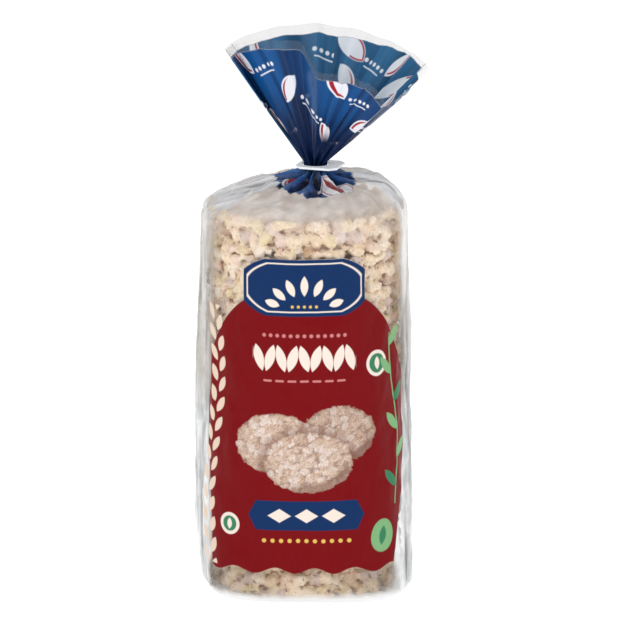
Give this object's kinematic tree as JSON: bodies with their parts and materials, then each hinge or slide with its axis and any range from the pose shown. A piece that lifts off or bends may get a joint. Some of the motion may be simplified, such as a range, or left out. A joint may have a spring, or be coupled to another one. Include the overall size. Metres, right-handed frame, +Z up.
{
  "type": "bag of puffed rice cakes",
  "caption": "Upright clear film bag holding a stack of round puffed rice cakes, gathered to a neck in a flat plastic clip under a pleated fan of film.",
  "frame": {"origin": "middle of the flat foot that the bag stands on, below the axis of the stack of cakes", "axes": "+Z up the stack of cakes towards the clip and the fan, -Y out of the printed front, +X to the right of someone who faces that front"},
  "size_m": [0.1178, 0.1013, 0.2824],
  "materials": {
    "film": "gloss",
    "rice_cake": "matte",
    "clip": "satin"
  },
  "bodies": {
    "root": {"bag": "film", "clip": "clip"}
  },
  "joints": []
}
